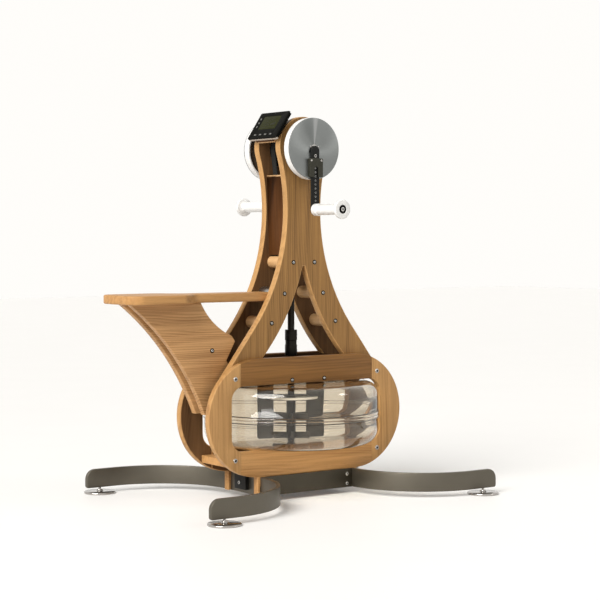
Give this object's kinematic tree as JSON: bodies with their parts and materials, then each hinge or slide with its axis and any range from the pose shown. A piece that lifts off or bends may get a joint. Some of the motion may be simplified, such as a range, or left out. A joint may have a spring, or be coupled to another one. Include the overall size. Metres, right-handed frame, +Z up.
{
  "type": "upper body ergometer",
  "caption": "Wooden upper body ergometer: hand cranks on a forked stand over a clear water tank, a plank seat behind, bent steel bows with levelling pads below.",
  "frame": {"origin": "on the floor, under the middle of the object's outline", "axes": "+X points from the user's seat to the cranks, +Y to the user's left, +Z up"},
  "size_m": [1.096, 0.771, 1.1255],
  "materials": {
    "oak": "oiled solid ash or oak boards, satin",
    "dark_board": "dark stained board",
    "satin_steel": "warm grey satin steel bar",
    "dark_steel": "dark oiled steel",
    "chrome": "polished chrome",
    "black_steel": "black powder coat",
    "clear_plastic": "clear moulded plastic",
    "black_plastic": "black moulded plastic",
    "white_plastic": "white moulded plastic",
    "black_rubber": "black rubber",
    "screen": "olive liquid crystal screen window",
    "steel": "plain turned steel"
  },
  "bodies": {
    "frame": {"right_side_plate": "oak", "right_top_rail": "oak", "right_bottom_rail": "oak", "right_rear_end": "oak", "right_front_end": "oak", "left_side_plate": "oak", "left_top_rail": "oak", "left_bottom_rail": "oak", "left_rear_end": "oak", "left_front_end": "oak", "rear_upper_dowel": "oak", "rear_middle_dowel": "steel", "rear_lower_dowel": "oak", "front_upper_dowel": "oak", "front_middle_dowel": "oak", "front_lower_dowel": "oak", "deck_board": "dark_board", "tank_shelf": "oak", "belt_cover": "oak", "seat_plank": "oak", "right_seat_panel": "oak", "left_seat_panel": "oak", "seat_anchor_rod": "steel", "rear_bow": "satin_steel", "front_bow": "satin_steel", "right_skid": "oak", "right_side_band": "satin_steel", "left_skid": "oak", "left_side_band": "satin_steel", "shelf_bracket": "black_steel", "tank_upper": "clear_plastic", "tank_lower": "clear_plastic", "tank_bearing": "black_plastic", "shaft_block": "black_steel", "drive_belt": "black_rubber", "console_board": "oak", "console_body": "black_plastic", "console_screen": "screen"},
    "crank": {"crank_axle": "steel", "upper_pulley": "black_plastic", "right_wheel": "white_plastic", "left_wheel": "white_plastic", "right_crank_sleeve": "black_steel", "left_crank_sleeve": "black_steel"},
    "right_bar": {"right_crank_bar": "black_steel"},
    "left_bar": {"left_crank_bar": "black_steel"},
    "right_grip_body": {"right_grip": "white_plastic"},
    "left_grip_body": {"left_grip": "white_plastic"},
    "jack": {"jack_shaft": "dark_steel"},
    "upright": {"upright_shaft": "dark_steel", "shaft_coupling": "dark_steel", "paddle": "dark_steel"},
    "button_1": {"console_button_1": "black_rubber"},
    "button_2": {"console_button_2": "black_rubber"},
    "button_3": {"console_button_3": "black_rubber"},
    "button_4": {"console_button_4": "black_rubber"},
    "right_rear_leveller": {"right_rear_foot": "chrome"},
    "right_front_leveller": {"right_front_foot": "chrome"},
    "left_rear_leveller": {"left_rear_foot": "chrome"},
    "left_front_leveller": {"left_front_foot": "chrome"}
  },
  "joints": [
    {"name": "crank_turn", "type": "hinge", "parent": "frame", "child": "crank", "pos_m": [0.045, 0, 1.0157], "axis": [0, 1, 0], "continuous": true},
    {"name": "right_bar_slide", "type": "slide", "parent": "crank", "child": "right_bar", "axis": [0, 0, 1], "range_m": [-0.0351, 0.0468]},
    {"name": "left_bar_slide", "type": "slide", "parent": "crank", "child": "left_bar", "axis": [0, 0, 1], "range_m": [-0.0468, 0.0351]},
    {"name": "right_grip_turn", "type": "hinge", "parent": "right_bar", "child": "right_grip_body", "pos_m": [0.045, -0.19, 0.8392], "axis": [0, 1, 0], "continuous": true},
    {"name": "left_grip_turn", "type": "hinge", "parent": "left_bar", "child": "left_grip_body", "pos_m": [0.045, 0.19, 0.8509], "axis": [0, 1, 0], "continuous": true},
    {"name": "jack_turn", "type": "hinge", "parent": "frame", "child": "jack", "pos_m": [0.045, 0, 0.752], "axis": [0, 1, 0], "continuous": true},
    {"name": "upright_turn", "type": "hinge", "parent": "frame", "child": "upright", "pos_m": [0.045, 0, 0.5], "axis": [0, 0, 1], "continuous": true},
    {"name": "button_1_press", "type": "slide", "parent": "frame", "child": "button_1", "axis": [0.832, 0, -0.5548], "range_m": [0, 0.0012], "stiffness_N_per_m": 400, "springref_m": -0.0005},
    {"name": "button_2_press", "type": "slide", "parent": "frame", "child": "button_2", "axis": [0.832, 0, -0.5548], "range_m": [0, 0.0012], "stiffness_N_per_m": 400, "springref_m": -0.0005},
    {"name": "button_3_press", "type": "slide", "parent": "frame", "child": "button_3", "axis": [0.832, 0, -0.5548], "range_m": [0, 0.0012], "stiffness_N_per_m": 400, "springref_m": -0.0005},
    {"name": "button_4_press", "type": "slide", "parent": "frame", "child": "button_4", "axis": [0.832, 0, -0.5548], "range_m": [0, 0.0012], "stiffness_N_per_m": 400, "springref_m": -0.0005},
    {"name": "right_rear_level", "type": "slide", "parent": "frame", "child": "right_rear_leveller", "axis": [0, 0, 1], "range_m": [-0.012, 0.0075]},
    {"name": "right_front_level", "type": "slide", "parent": "frame", "child": "right_front_leveller", "axis": [0, 0, 1], "range_m": [-0.012, 0.0075]},
    {"name": "left_rear_level", "type": "slide", "parent": "frame", "child": "left_rear_leveller", "axis": [0, 0, 1], "range_m": [-0.012, 0.0075]},
    {"name": "left_front_level", "type": "slide", "parent": "frame", "child": "left_front_leveller", "axis": [0, 0, 1], "range_m": [-0.012, 0.0075]}
  ],
  "couplings": [
    {"joint": "jack_turn", "follows": "crank_turn", "ratio": 3},
    {"joint": "upright_turn", "follows": "crank_turn", "ratio": -3}
  ]
}
